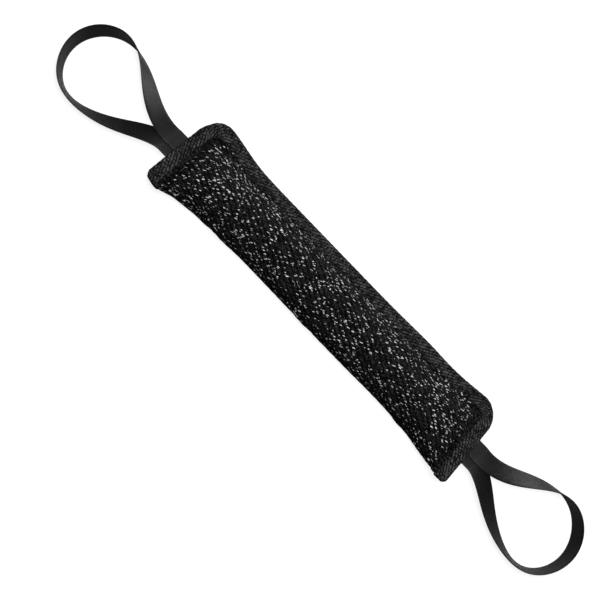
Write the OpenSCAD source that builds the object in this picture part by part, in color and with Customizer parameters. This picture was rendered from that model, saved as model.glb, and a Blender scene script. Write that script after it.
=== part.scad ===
// Training bumper: a woven cover folded over soft stuffing, bound round its three
// sewn edges, with a webbing loop handle sewn into each end.
// X runs along the body, +Y points to the bound long edge, and the floor is at Z = 0.

/* [Body] */
// Length of the body over its bound ends
body_l = 400; // [320:5:460]
// Width of the cover laid flat, from the fold to the bound edge
flat_w = 95; // [88:1:115]
// Height of the stuffed body
body_h = 44; // [38:1:50]
// Height of the sewn edge above the floor
seam_h = 21; // [18:1:24]
// Distance over which each end swells to its full height
swell_l = 60; // [45:5:100]
// Thickness of the cover cloth
cloth_t = 1.5; // [1:0.1:2]

/* [Binding] */
// Width of the binding on each face
binding_w = 13.5; // [12:0.5:18]
// Thickness of the binding tape
binding_t = 1; // [0.6:0.1:1.4]
// Radius of the two bound corners
corner_r = 24; // [20:1:29]

/* [Handles] */
// Width of the webbing
web_w = 20; // [15:1:25]
// Thickness of the webbing
web_t = 1.4; // [1:0.1:2]
// Length of webbing sewn into the end seam
tail_l = 13; // [8:1:14]
// Distance from the bound end to the line where the handle bends
bend_out = 5; // [4.5:0.5:8]
// Distance of each leg's root from the middle of the two, to opposite sides
leg_spread = 5; // [0:0.5:5]
// Distance of the two legs' middle from the middle of the end, towards the fold
leg_shift = 4.5; // [0:0.5:6]
// Length over which the two legs of a handle lie together
stem_l = 5; // [4:1:16]
// Length of the open loop
loop_l = 131; // [100:1:160]
// Width of the open loop, centre to centre of the webbing
loop_w = 86; // [60:2:110]
// Distance that the left loop's far end lies towards the fold
left_lean = 5; // [-12:1:12]
// Distance that the right loop's far end lies towards the fold
right_lean = 10; // [-12:1:12]
// Further reach of the left loop's far end
left_reach = 2; // [-4:0.5:4]
// Further reach of the right loop's far end
right_reach = -1.5; // [-4:0.5:4]

/* [Thread] */
// Thickness of the sewing thread
thread_d = 0.8; // [0.5:0.1:1.2]
// Length of one stitch
stitch_l = 3.5; // [2.5:0.5:5]
// Gap between two stitches
stitch_gap = 1.5; // [1:0.5:3]
// Distance of the seam from the inner edge of the binding
seam_in = 7.5; // [2:0.5:9]

/* [Hidden] */

cover_colour = "#1d1d20";
stuffing_colour = "whitesmoke";
binding_colour = "#121214";
webbing_colour = "#2c2c2f";
thread_colour = "#0b0b0c";

// Clearances between pieces that lie against each other
ply_gap = 0.1;
leg_gap = 0.2;
side_gap = 0.5;
fill_gap = 0.3;
bend_gap = 0.9;
floor_gap = 0.1;

// Depth to which the underside is cut flat, and flat cloth beside the binding
rest_cut = 0.5;
lip_w = 3.5;
// Least width of the flat edge at the last row of the cover
edge_min = 2;
// Bevel of the binding's fold, and how far the thread sinks into the tape
fold_bevel = 0.6;
thread_sink = 0.2;
// Extra radius of the bead where the two legs of a handle meet
bead_lap = 0.1;

half_l = body_l / 2;
half_w = flat_w / 2;
flange_w = binding_w + lip_w;
stitch_x = half_l - flange_w;
flat_body_w = flat_w - flange_w;
raw_inset = binding_t + side_gap;
end_top = half_w - corner_r;

// Half the height of the two tails, and the raised patch that they make in the end seam
tail_stack = leg_gap / 2 + web_t;
tails_w = web_w + 2 * leg_spread;
tab_flat = tails_w / 2 + side_gap;
tab_end = tab_flat + (end_top - edge_min - tab_flat) / 2;
tab_ys = [for (y = [tab_end, tab_flat, 0, -tab_flat, -tab_end]) y - leg_shift];

// Crown above the seam and belly below it, inside the cloth
crown_h = body_h - seam_h - cloth_t - ply_gap;
belly_h = seam_h - cloth_t - ply_gap + rest_cut;

// How an end swells, how much of the girth the stuffing takes up in width,
// and the share of that narrowing on the bound side
swell_pow = 0.65;
girth_k = 1.35;
far_share = 0.3;
function swell(x) =
  let (k = min(1, max(0, stitch_x - abs(x)) / swell_l))
  pow(1 - pow(1 - k, 2), swell_pow);
function draw_in(x) =
  flat_body_w - sqrt(pow(flat_body_w, 2) - girth_k * pow(body_h * swell(x), 2));

// Profile across the body: v runs from the stitch line (0) to the fold (1)
rise_pow = 0.7;
fold_pow = 0.5;
peak_v = rise_pow / (rise_pow + fold_pow);
peak_k = pow(peak_v, rise_pow) * pow(1 - peak_v, fold_pow);
function profile(v) = pow(v, rise_pow) * pow(1 - v, fold_pow) / peak_k;
function rise(x, v) = crown_h * swell(x) * profile(v);
function sink(x, v) = belly_h * swell(x) * sqrt(profile(v));

// Lines in plan: parallel to the bound edge at an inset, and along the fold
function corner_drop(x, r) =
  corner_r - sqrt(max(0, r * r - pow(max(0, abs(x) - half_l + corner_r), 2)));
function edge_y(x, inset) = half_w - far_share * draw_in(x) - corner_drop(x, corner_r - inset);
function fold_y(x) = -half_w + (1 - far_share) * draw_in(x);
function in_flange(x) = abs(x) >= stitch_x;
function stitch_y(x) = in_flange(x) ? end_top - edge_min : edge_y(x, flange_w);

// Half the space between the cloth layers, raised over the tails in the end seams
function tab(y) = min(1, max(0, (tab_end - abs(y + leg_shift)) / (tab_end - tab_flat)));
function end_lay(y) = ply_gap + tail_stack * tab(y);
function cloth_lay(x, y) = in_flange(x) ? end_lay(y) : ply_gap;

// Rows across the cover, at the edges of the raised patch and closer near the fold
end_span = end_top - edge_min + half_w;
function v_of(y) = (end_top - edge_min - y) / end_span;
v_last = v_of(tab_ys[4]);
v_rows = concat(
  [0],
  [for (y = tab_ys) v_of(y)],
  [for (k = [0.35, 0.65, 0.88, 1]) v_last + (1 - v_last) * k]
);
row_last = len(v_rows) - 1;

// Stations along the cover: the flat end seam, the swelling end and the middle
flange_rows = 4;
swell_rows = 7;
middle_rows = 2;
row_pow = 1.6;
raw_x = half_l - raw_inset;
half_stations = concat(
  [for (i = [0:flange_rows]) stitch_x + (raw_x - stitch_x) * (1 - pow(i / flange_rows, row_pow))],
  [for (i = [1:swell_rows]) stitch_x - swell_l * pow(i / swell_rows, row_pow)],
  [for (i = [1:middle_rows]) (stitch_x - swell_l) * (1 - i / middle_rows)]
);
half_last = len(half_stations) - 1;
stations = concat(
  [for (x = half_stations) -x],
  [for (i = [half_last - 1:-1:0]) half_stations[i]]
);

// Triangles between closed rings of n points, wound for rings that turn anticlockwise
// as seen from the last one; crossed ones split each square on its other diagonal
function ring_faces(count, n, crossed) = [
  for (k = [0:count - 2], i = [0:n - 1])
    let (a = k * n + i, b = k * n + (i + 1) % n)
    each crossed ? [[a, a + n, b + n], [a, b + n, b]] : [[a, a + n, b], [b, a + n, b + n]]
];
function fan(loop) = [for (i = [1:len(loop) - 2]) [loop[0], loop[i], loop[i + 1]]];
function reverse(list) = [for (i = [len(list) - 1:-1:0]) list[i]];
// First and last ring closed by the same set of convex loops
function caps(loops, count, n) = [
  for (loop = loops)
    each concat(fan(loop), fan(reverse([for (i = loop) i + (count - 1) * n])))
];
module skin(rings, cap_loops, crossed = false) {
  count = len(rings);
  n = len(rings[0]);
  polyhedron(
    [for (ring = rings) each ring],
    concat(ring_faces(count, n, crossed), caps(cap_loops, count, n))
  );
}

// Cover
function cover_y(x, v, inset) =
  stitch_y(x) - v * (stitch_y(x) - fold_y(x)) + inset * pow(v, 4);
// One face of the cloth across a station: side is 1 above the seam and -1 below it
function cloth_line(x, side, outside) =
  let (edge = edge_y(x, raw_inset))
  concat(
    [[x, edge, seam_h + side * (cloth_lay(x, edge) + outside)]],
    [for (v = v_rows)
      let (
        y = cover_y(x, v, cloth_t - outside),
        swelling = side > 0 ? rise(x, v) : sink(x, v)
      )
      [x, y, seam_h + side * (cloth_lay(x, y) + outside + swelling)]]
  );
function cover_ring(x) = concat(
  cloth_line(x, 1, cloth_t),
  reverse(cloth_line(x, -1, cloth_t)),
  cloth_line(x, -1, 0),
  reverse(cloth_line(x, 1, 0))
);
cover_n = 4 * (row_last + 2);
cover_caps = [for (i = [0:cover_n / 2 - 2]) [i, i + 1, cover_n - 2 - i, cover_n - 1 - i]];
module cover() {
  color(cover_colour) difference() {
    skin([for (x = stations) cover_ring(x)], cover_caps);
    translate([-body_l, -flat_w, -seam_h]) cube([2 * body_l, 2 * flat_w, seam_h]);
  }
}

// Stuffing, inside the swelling part of the cover and split like the cover's inner face
function fill_line(x, side) = [
  for (i = [1:row_last - 1])
    let (v = v_rows[i], swelling = side > 0 ? rise(x, v) : sink(x, v))
    [x, cover_y(x, v, cloth_t), seam_h + side * (ply_gap + swelling - fill_gap)]
];
function fill_ring(x) = concat(fill_line(x, 1), reverse(fill_line(x, -1)));
fill_n = 2 * (row_last - 1);
module stuffing() {
  color(stuffing_colour)
    skin(
      [for (x = stations) if (!in_flange(x)) fill_ring(x)],
      [[for (i = [0:fill_n - 1]) i]],
      crossed = true
    );
}

// Places along the bound edge: end places hold a y, corner places an angle, side places an x
corner_steps = 8;
end_ys = [-half_w, tab_ys[4], tab_ys[3], tab_ys[1], tab_ys[0], end_top];
left_places = concat(
  [for (y = end_ys) [-1, "end", y]],
  [for (i = [1:corner_steps - 1]) [-1, "corner", 90 * i / corner_steps]]
);
side_limit = half_l - corner_r;
side_xs = concat(
  [-side_limit],
  [for (x = stations) if (abs(x) < side_limit - edge_min) x],
  [side_limit]
);
edge_places = concat(
  left_places,
  [for (x = side_xs) [0, "side", x]],
  [for (p = reverse(left_places)) [1, p[1], p[2]]]
);
function edge_at(place, inset) =
  place[1] == "end" ? [place[0] * (half_l - inset), place[2]] :
  let (x = place[1] == "side" ? place[2] :
    place[0] * (half_l - corner_r + (corner_r - inset) * cos(place[2])))
  [x, edge_y(x, inset)];
function lay_at(place) = place[1] == "end" ? end_lay(place[2]) : ply_gap;
// Height of the inside and of the outside of the binding above the seam
function bound_in(place) = lay_at(place) + cloth_t + ply_gap;
function bound_out(place) = bound_in(place) + binding_t;

function binding_ring(place) =
  let (
    hi = bound_in(place),
    ho = bound_out(place),
    points = [
      [fold_bevel, ho], [binding_w, ho], [binding_w, hi], [binding_t, hi],
      [binding_t, -hi], [binding_w, -hi], [binding_w, -ho], [fold_bevel, -ho],
      [0, fold_bevel - ho], [0, ho - fold_bevel]
    ]
  )
  [for (p = points) concat(edge_at(place, p[0]), seam_h + p[1])];
binding_caps = [[0, 1, 2, 3], [9, 0, 3, 4, 7, 8], [7, 4, 5, 6]];
slot_w = tails_w + 2 * side_gap;
slot_h = 2 * (tail_stack + ply_gap);
module edge_binding() {
  color(binding_colour) difference() {
    skin([for (p = edge_places) binding_ring(p)], binding_caps);
    for (side = [-1, 1])
      translate([side * half_l, -leg_shift, seam_h]) cube([2 * raw_inset, slot_w, slot_h], center = true);
  }
}

// Thread
module stitch(from, to) {
  way = to - from;
  flat = norm([way.x, way.y]);
  translate(from) rotate([0, atan2(flat, way.z), atan2(way.y, way.x)]) cylinder(h = norm(way), d = thread_d);
}
// Seam row round the binding, measured from the fold of the left end
row_inset = binding_w - seam_in;
row_r = corner_r - row_inset;
end_run = end_top + half_w;
corner_run = row_r * PI / 2;
row_run = 2 * (end_run + corner_run + side_limit);
stitch_pitch = stitch_l + stitch_gap;
stitch_count = floor(row_run / stitch_pitch);
function left_place(d) =
  d < end_run ? [-1, "end", d - half_w] :
  d < end_run + corner_run ? [-1, "corner", (d - end_run) / row_r * 180 / PI] :
  [0, "side", d - end_run - corner_run - side_limit];
function row_place(d) =
  d <= row_run / 2 ? left_place(d) :
  let (p = left_place(row_run - d))
  p[1] == "side" ? [0, "side", -p[2]] : [1, p[1], p[2]];
function on_binding(place, inset, side) =
  concat(edge_at(place, inset), seam_h + side * (bound_out(place) + thread_d / 2 - thread_sink));
module seam_row(side) {
  color(thread_colour) for (i = [0:stitch_count - 1]) {
    from = row_place(i * stitch_pitch + stitch_gap / 2);
    to = row_place(i * stitch_pitch + stitch_gap / 2 + stitch_l);
    stitch(on_binding(from, row_inset, side), on_binding(to, row_inset, side));
  }
}
module binding_needle_thread() {
  seam_row(1);
}
module binding_bobbin_thread() {
  seam_row(-1);
}
// Two short rows across the tails, on both faces of an end seam
tack_rows = 2;
tack_count = floor(web_w / stitch_pitch);
module handle_tack(end) {
  color(thread_colour) for (side = [-1, 1], row = [1:tack_rows], i = [0:tack_count - 1]) {
    inset = row * row_inset / (tack_rows + 1);
    y = (i - (tack_count - 1) / 2) * stitch_pitch - leg_shift;
    stitch(
      on_binding([end, "end", y - stitch_l / 2], inset, side),
      on_binding([end, "end", y + stitch_l / 2], inset, side)
    );
  }
}
module left_handle_tack() {
  handle_tack(-1);
}
module right_handle_tack() {
  handle_tack(1);
}

// Handles, drawn for the left end
bend_x = half_l + bend_out;
bead_r = tail_stack + bead_lap;
module handle_tails() {
  color(webbing_colour) for (leg = [-1, 1])
    translate([-bend_x + bead_r + bend_gap, leg * leg_spread - leg_shift, seam_h + leg * (leg_gap + web_t) / 2])
      translate([0, -web_w / 2, -web_t / 2])
        cube([bend_out - bead_r - bend_gap + tail_l, web_w, web_t]);
}
// Plan of the loop: a pear that starts along X at the stem and turns once, with a blunt far
// end that is fuller on the bound side, about an axis that sways and leans to the fold's side
loop_steps = 52;
pear_pow = 2.1;
pear_skew = 0.038;
pear_blunt = 0.028;
pear_square = 0.04;
axis_sway = 3.3;
axis_bow = 2;
pear_turn = acos(-pear_pow / (2 + pear_pow));
pear_k = 2 * sin(pear_turn) * pow(sin(pear_turn / 2), pear_pow);
function axis_y(far, lean) = axis_bow * pow(sin(180 * far), 2) - axis_sway * sin(360 * far) - lean * far;
function root_y(far, turn) = (leg_spread * sign(180 - turn) - leg_shift) * pow(1 - far, 2);
function pear(turn, lean, reach) =
  let (
    far = (1 - cos(turn)) / 2,
    along = 1 + pear_skew * sin(turn) - pear_blunt * sin(2 * turn),
    aside = sin(turn) * pow(sin(turn / 2), pear_pow) / pear_k - pear_square * sin(3 * turn) * far
  )
  [
    -bend_x - stem_l - (loop_l * along + reach) * far,
    loop_w * aside + axis_y(far, lean) + root_y(far, turn)
  ];
function run(plan) = [
  for (i = 0, d = 0; i <= loop_steps; i = i + 1, d = i > loop_steps ? d : d + norm(plan[i] - plan[i - 1]))
    d
];
// The webbing turns half over along the loop, mostly a quarter of the way from each end and
// a little ahead of the middle, and comes down from the seam until it lies on the floor
twist_lead = 0.04;
twist_ends = 0.03;
twist_uneven = 0.018;
twist_quarters = 0.04;
droop_pow = 9.4;
function twist(s) = -90 + 180 * (
  s + twist_lead * sin(180 * s) + twist_ends * sin(360 * s)
  - twist_uneven * sin(540 * s) - twist_quarters * sin(720 * s)
);
function loop_z(s) =
  floor_gap + web_w / 2 * cos(twist(s)) + web_t / 2 * abs(sin(twist(s)))
  + (seam_h - floor_gap - web_t / 2) * pow(abs(cos(180 * s)), droop_pow)
  + (leg_gap + web_t) / 2 * pow(cos(180 * s), 3);
function shares(plan) = let (d = run(plan)) [for (at = d) at / d[loop_steps]];
function path(plan, s) = concat(
  [[-bend_x, leg_spread - leg_shift, loop_z(0)]],
  [for (i = [0:loop_steps]) concat(plan[i], loop_z(s[i]))],
  [[-bend_x, -leg_spread - leg_shift, loop_z(1)]]
);
path_last = loop_steps + 2;
function unit(v) = v / norm(v);
function web_ring(path, turned, i) =
  let (
    on_stem = i < 2 || i > path_last - 2,
    way = on_stem ? [i < 2 ? -1 : 1, 0, 0] : unit(path[i + 1] - path[i - 1]),
    level = unit([-way.y, way.x, 0]),
    leaning = level * cos(turned[i]) + [0, 0, sin(turned[i])],
    inner = unit(leaning - way * (leaning * way)) * web_t / 2,
    wide = unit(cross(way, inner)) * web_w / 2
  )
  [path[i] + inner + wide, path[i] - inner + wide, path[i] - inner - wide, path[i] + inner - wide];
module handle_loop(lean, reach) {
  plan = [for (i = [0:loop_steps]) pear(360 * i / loop_steps, lean, reach)];
  s = shares(plan);
  route = path(plan, s);
  turned = concat(-90, [for (share = s) twist(share)], 90);
  color(webbing_colour) {
    skin([for (i = [0:path_last]) web_ring(route, turned, i)], [[0, 1, 2, 3]]);
    translate([-bend_x, -leg_shift, seam_h]) rotate([90, 0, 0]) cylinder(h = tails_w, r = bead_r, center = true);
  }
}
module left_handle_loop() {
  handle_loop(left_lean, left_reach);
}
module right_handle_loop() {
  mirror([1, 0, 0]) handle_loop(right_lean, right_reach);
}
module left_handle_tails() {
  handle_tails();
}
module right_handle_tails() {
  mirror([1, 0, 0]) handle_tails();
}

cover();
stuffing();
edge_binding();
binding_needle_thread();
binding_bobbin_thread();
left_handle_loop();
left_handle_tails();
left_handle_tack();
right_handle_loop();
right_handle_tails();
right_handle_tack();
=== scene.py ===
"""Training bumper: the looks of the stuffed pad, its bound edge and its two webbing handles.

Lengths in the making functions are in millimetres, as in the part's own source, and each
mesh is written in metres. +X runs along the pad, +Y points to its bound long edge.
"""

import math

import bmesh
import bpy
import numpy as np
from mathutils import Matrix, Vector


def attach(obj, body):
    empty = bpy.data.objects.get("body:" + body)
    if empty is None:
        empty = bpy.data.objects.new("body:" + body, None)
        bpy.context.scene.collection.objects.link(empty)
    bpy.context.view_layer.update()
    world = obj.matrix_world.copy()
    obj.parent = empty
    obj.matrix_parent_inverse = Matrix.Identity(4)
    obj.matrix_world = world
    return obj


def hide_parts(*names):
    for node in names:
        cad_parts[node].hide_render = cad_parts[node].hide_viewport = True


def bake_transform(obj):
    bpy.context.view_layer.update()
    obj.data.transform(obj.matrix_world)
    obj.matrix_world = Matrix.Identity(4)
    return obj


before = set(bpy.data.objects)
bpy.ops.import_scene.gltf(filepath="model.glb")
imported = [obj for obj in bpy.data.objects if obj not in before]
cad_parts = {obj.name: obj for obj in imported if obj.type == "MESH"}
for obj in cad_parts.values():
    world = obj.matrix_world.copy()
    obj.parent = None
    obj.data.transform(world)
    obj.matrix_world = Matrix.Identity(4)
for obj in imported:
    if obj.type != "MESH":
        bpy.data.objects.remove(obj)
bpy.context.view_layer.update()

MM = 0.001

# Sizes of the pad, the same as in the part's source
body_l = 400.0
flat_w = 95.0
body_h = 44.0
seam_h = 21.0
swell_l = 60.0
cloth_t = 1.5
binding_w = 13.5
binding_t = 1.0
corner_r = 24.0
ply_gap = 0.1
rest_cut = 0.5
lip_w = 3.5
edge_min = 2.0

# How its ends swell, its sides draw in and its height runs from the seam to the fold
swell_pow = 0.65
girth_k = 1.35
far_share = 0.3
rise_pow = 0.7
fold_pow = 0.5

# Sizes of the handles
web_w = 20.0
web_t = 1.4
tail_l = 13.0
bend_out = 5.0
leg_spread = 5.0
leg_shift = 4.5
leg_gap = 0.2
stem_l = 5.0
loop_l = 131.0
loop_w = 86.0
left_lean = 5.0
right_lean = 10.0
left_reach = 2.0
right_reach = -1.5
floor_gap = 0.1
side_gap = 0.5

# Plan of a loop, and how its webbing turns over and comes down to the floor
pear_pow = 2.1
pear_skew = 0.038
pear_blunt = 0.028
pear_square = 0.04
axis_sway = 3.3
axis_bow = 2.0
twist_lead = 0.04
twist_ends = 0.03
twist_uneven = 0.018
twist_quarters = 0.04
droop_pow = 9.4

# Sizes of the stitches
thread_d = 0.8
stitch_l = 3.5
stitch_gap = 1.5
seam_in = 7.5
stitch_pitch = stitch_l + stitch_gap

# How a stitch is drawn: a small tube that bows up from the tape and tapers at both ends
stitch_points = 9
stitch_sides = 8
stitch_bow = 0.42
stitch_sink = 0.25
stitch_lift = 0.05
stitch_taper = 6
stitch_tip = 0.02

# Places that follow from the sizes
half_l = body_l / 2
half_w = flat_w / 2
flange_w = binding_w + lip_w
stitch_x = half_l - flange_w
flat_body_w = flat_w - flange_w
raw_inset = binding_t + side_gap
end_top = half_w - corner_r
seam_row = binding_w - seam_in
tail_stack = leg_gap / 2 + web_t
tab_flat = (web_w + 2 * leg_spread) / 2 + side_gap
tab_end = tab_flat + (end_top - edge_min - tab_flat) / 2
crown_h = body_h - seam_h - cloth_t - ply_gap
belly_h = seam_h - cloth_t - ply_gap + rest_cut
bend_x = half_l + bend_out

# Soft forms of the cover: the eased fold, the puffed lip beside the binding and the rounded corners
fold_ease = 18.0
ease_steps = 13
fold_thin = 0.5
fold_thin_pow = 10
lip_rise = 1.4
lip_spread = 0.035
ear_radii = ((-1, 8.0), (1, 5.0))

# The lowest that the cover's cloth and its ribs come, above the floor
rest_z = 0.25
rib_rest_z = 0.05

# Soft hollows at the ends of the fold: place, radius and depth of each
fold_dents = [((-172, -38, 27), 9, 2.6), ((172, -36, 28), 7, 1.2)]

# How the soft long edges wander outwards: place along X, spread and height of each bulge
fold_bulges = [(-184, 6, 1.6), (-166, 8, -1.7), (-119, 22, 4.2), (-27, 25, -0.8),
               (60, 35, 0.9), (125, 18, 3.7), (178, 14, -1.9)]
bound_bulges = [(-191, 8, 1.3), (-175, 38, 3.7), (100, 33, 1.2), (115, 45, 0.4)]

# The bound edge stands out by this as well, eased in at the ends and less at the tape's inner edge
bound_out = 0.4
bound_ease = 6.0
bound_hold = 0.6

# Binding tape: the fold at its edge, its two ridges and the groove of the seam between them
tape_fold_r = 2.6
tape_fold_turn = 78
inner_ridge = 0.8
outer_ridge = 0.55
ridge_lean = 1.7
ridge_round = 0.8
groove_d = 0.55
groove_w = 0.9
rim_d = 0.35
rim_w = 1.0
tape_least = 0.3

# Its inner edge wanders and its ridges puff in waves: height, length and start of each
tape_wander = [(0.35, 11.3, 0.0), (0.25, 5.1, 1.3)]
tape_puff = [(0.12, 7.9, 0.7), (0.10, 17.0, 2.1)]
wander_from = 4.0
wander_over = 9.0

# Its two cut ends are pressed together
cut_pinch = 0.45
cut_pinch_l = 2.2

# Cloth weave: how the ribs of each cloth run, and how high they stand
rib_round = 2.2
cover_rib = 4.6
cover_rib_lean = math.radians(28)
cover_rib_h = 0.42
cover_rib_middle = 0.6
tape_rib = 2.9
tape_rib_lean = math.radians(30)
tape_rib_h = 0.34
tape_rib_middle = 0.55


# Shape of the pad


def swell(x):
    """How far the pad has swollen at x, from 0 in the end seam to 1."""
    k = np.clip((stitch_x - np.abs(x)) / swell_l, 0, 1)
    return (1 - (1 - k) ** 2) ** swell_pow


def draw_in(x):
    """How much narrower the stuffing makes the pad at x."""
    return flat_body_w - np.sqrt(flat_body_w**2 - girth_k * (body_h * swell(x)) ** 2)


def edge_y(x, inset):
    """The bound long edge in plan, at a distance inside it."""
    r = corner_r - inset
    past = np.maximum(0, np.abs(x) - half_l + corner_r)
    round_out = np.sqrt(np.maximum(0, r * r - past**2))
    return half_w - far_share * draw_in(x) - corner_r + round_out


def bulge(x, bulges):
    """Sum of soft bulges along X, each given by its place, its spread and its height."""
    return sum(high * np.exp(-(((x - place) / spread) ** 2)) for place, spread, high in bulges)


def fold_y(x):
    """The folded long edge in plan, eased where the swelling starts and ends."""
    ease = fold_ease * np.clip((stitch_x - np.abs(x)) / swell_l, 0, 1)
    eased = np.mean([draw_in(x + k * ease) for k in np.linspace(-1, 1, ease_steps)], axis=0)
    return -half_w + (1 - far_share) * eased


def profile(v):
    """Height across the pad, from the stitch line (0) to the fold (1)."""
    peak = rise_pow / (rise_pow + fold_pow)
    return v**rise_pow * (1 - v) ** fold_pow / (peak**rise_pow * (1 - peak) ** fold_pow)


def tail_rise(y):
    """How far the layers of an end seam part over the webbing, from 0 to 1."""
    t = np.clip((tab_end - np.abs(y + leg_shift)) / (tab_end - tab_flat), 0, 1)
    return t * t * (3 - 2 * t)


def unit(v):
    """Vectors brought to length 1."""
    return v / np.maximum(np.linalg.norm(v, axis=-1, keepdims=True), 1e-12)


def run_along(points):
    """Distance along a line at each of its points."""
    return np.concatenate([[0], np.cumsum(np.linalg.norm(np.diff(points, axis=0), axis=1))])


def along(points, count):
    """The same line with count points, evenly spaced along it."""
    run = run_along(points)
    wanted = np.linspace(0, run[-1], count)
    return np.stack([np.interp(wanted, run, points[:, k]) for k in range(points.shape[1])], -1)


def refine(rows, times, closed):
    """Rows with times as many steps between them, on a smooth curve through all of them."""
    if closed:
        padded = np.concatenate([rows[-1:], rows, rows[:2]])
    else:
        padded = np.concatenate([2 * rows[:1] - rows[1:2], rows, 2 * rows[-1:] - rows[-2:-1]])
    a, b, c, d = padded[:-3], padded[1:-2], padded[2:-1], padded[3:]
    parts = []
    for k in range(times):
        t = k / times
        parts.append(
            b
            + 0.5 * t * (c - a)
            + t * t * (a - 2.5 * b + 2 * c - 0.5 * d)
            + t**3 * (1.5 * (b - c) + 0.5 * (d - a))
        )
    fine = np.stack(parts, 1).reshape(-1, *rows.shape[1:])
    return fine if closed else np.concatenate([fine, rows[-1:]])


def side_normals(rings):
    """Normals of closed rings of points, all to one side of the tube that they make."""
    way = np.gradient(rings, axis=0)
    round_it = np.roll(rings, -1, axis=1) - np.roll(rings, 1, axis=1)
    return unit(np.cross(way, round_it))


def ring_normals(rings):
    """Normals of closed rings of points, pointing out of the tube that they make."""
    normal = side_normals(rings)
    out = rings - rings.mean(1, keepdims=True)
    return normal if (normal * out).sum() > 0 else -normal


def rib_height(u, v, pitch, lean):
    """Rounded ribs with narrow valleys, from 0 to 1, leaning from u towards v."""
    across = (v * math.cos(lean) - u * math.sin(lean)) / pitch
    part = across - np.floor(across) - 0.5
    return 1 - (2 * np.abs(part)) ** rib_round


def round_ears(points):
    """The pad's two near corners, rounded in plan."""
    points = points.copy()
    for side, radius in ear_radii:
        past_x = side * points[..., 0] - half_l + radius
        past_y = -points[..., 1] - half_w + radius
        ear = (past_x > 0) & (past_y > 0)
        past_x, past_y = past_x[ear], past_y[ear]
        share = np.maximum(past_x, past_y) / np.hypot(past_x, past_y)
        points[ear, 0] = side * (half_l - radius + past_x * share)
        points[ear, 1] = -(half_w - radius + past_y * share)
    return points


# Meshes


def cloth_grid(u, v):
    """Cloth coordinates of rows of points, one row at each u and one point at each v."""
    return np.stack(np.broadcast_arrays(u[:, None], v[None, :]), -1)


def add_rings(name, rings, cloth):
    """A closed tube through rings of points in mm, with cloth coordinates in mm at each point.

    Each ring runs out along one face and back along the other, so opposite points close the ends.
    """
    rows, count = rings.shape[:2]
    i, j = np.meshgrid(np.arange(rows - 1), np.arange(count), indexing="ij")
    k = (j + 1) % count
    quads = np.stack([i * count + j, i * count + k, (i + 1) * count + k, (i + 1) * count + j], -1)
    coords = np.stack([cloth[i, j], cloth[i, j + 1], cloth[i + 1, j + 1], cloth[i + 1, j]], 2)
    quads = quads.reshape(-1, 4)
    coords = coords.reshape(-1, 4, 2)
    n = np.arange(count // 2 - 1)
    cap = np.stack([n, n + 1, count - 2 - n, count - 1 - n], -1)
    for row in (0, rows - 1):
        quads = np.concatenate([quads, cap + row * count])
        coords = np.concatenate([coords, cloth[row][cap]])
    mesh = bpy.data.meshes.new(name)
    mesh.from_pydata((rings.reshape(-1, 3) * MM).tolist(), [], quads.tolist())
    layer = mesh.uv_layers.new(name="cloth")
    layer.data.foreach_set("uv", (coords * MM).astype(np.float32).ravel())
    return add_mesh(name, mesh)


def add_mesh(name, mesh):
    """A smooth shaded piece whose faces all point outwards."""
    shape = bmesh.new()
    shape.from_mesh(mesh)
    bmesh.ops.recalc_face_normals(shape, faces=shape.faces)
    shape.to_mesh(mesh)
    shape.free()
    mesh.polygons.foreach_set("use_smooth", [True] * len(mesh.polygons))
    mesh.update()
    piece = bpy.data.objects.new(name, mesh)
    bpy.context.scene.collection.objects.link(piece)
    return piece


# Cover, its stuffing and the cloth simulation that fills it

# Lines along the cover and rings across it, and how often each step is split for the ribs
flange_steps = 5
body_steps = 20
cover_lines = 2 * (flange_steps + body_steps + 1)
section_points = 241
flange_rings = 6
swell_rings = 18
middle_rings = 31
ring_pow = 1.25
fine_rings = 2
fine_lines = 4

# Frames of the simulation, and how far it may move the cloth
stuff_frames = 20
stuff_move = 4.0

# The stuffing: how far it stays inside the cover, how it thins at its sides, and its lumps
stuffing_gap = 2.4
stuffing_end = 1.5
stuffing_edge = 1.5
stuffing_thin = 0.2
stuffing_line = 3.0
lump_h = 0.5
lump_l = 9.0
lump_w = 7.0


def cover_station(x):
    """One closed ring of the cover: out over the upper cloth, round the fold and back below."""
    in_flange = abs(x) >= stitch_x
    edge = float(edge_y(x, raw_inset))
    stitch = end_top - edge_min if in_flange else float(edge_y(x, flange_w))
    fold = float(fold_y(x))
    grown = float(swell(x))
    v = np.linspace(0, 1, section_points)
    y = stitch - v * (stitch - fold)
    lay = ply_gap + (tail_stack * tail_rise(y) if in_flange else 0) + cloth_t
    lay = lay * (1 - fold_thin * v**fold_thin_pow) + lip_rise * grown * np.exp(-v / lip_spread)
    upper = np.stack([np.full(v.shape, x), y, seam_h + lay + crown_h * grown * profile(v)], -1)
    lower = np.stack([np.full(v.shape, x), y, seam_h - lay - belly_h * grown * np.sqrt(profile(v))], -1)
    faces = []
    for line, side in ((upper, 1), (lower, -1)):
        body = along(line, body_steps + 1)
        t = np.arange(flange_steps)[:, None] / flange_steps
        flange = np.array([[x, edge, seam_h + side * (ply_gap + cloth_t)]]) * (1 - t) + body[:1] * t
        faces.append(np.concatenate([flange, body]))
    return np.concatenate([faces[0], faces[1][::-1]])


def cover_stations():
    """Places of the rings along X: close in the end seams and the swelling ends."""
    raw_x = half_l - raw_inset
    flange = np.linspace(raw_x, stitch_x, flange_rings)
    swelling = stitch_x - swell_l * np.linspace(0, 1, swell_rings)[1:] ** ring_pow
    middle = np.linspace(stitch_x - swell_l, 0, middle_rings)[1:]
    half = np.concatenate([flange, swelling, middle])
    return np.concatenate([-half, half[-2::-1]])


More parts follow.
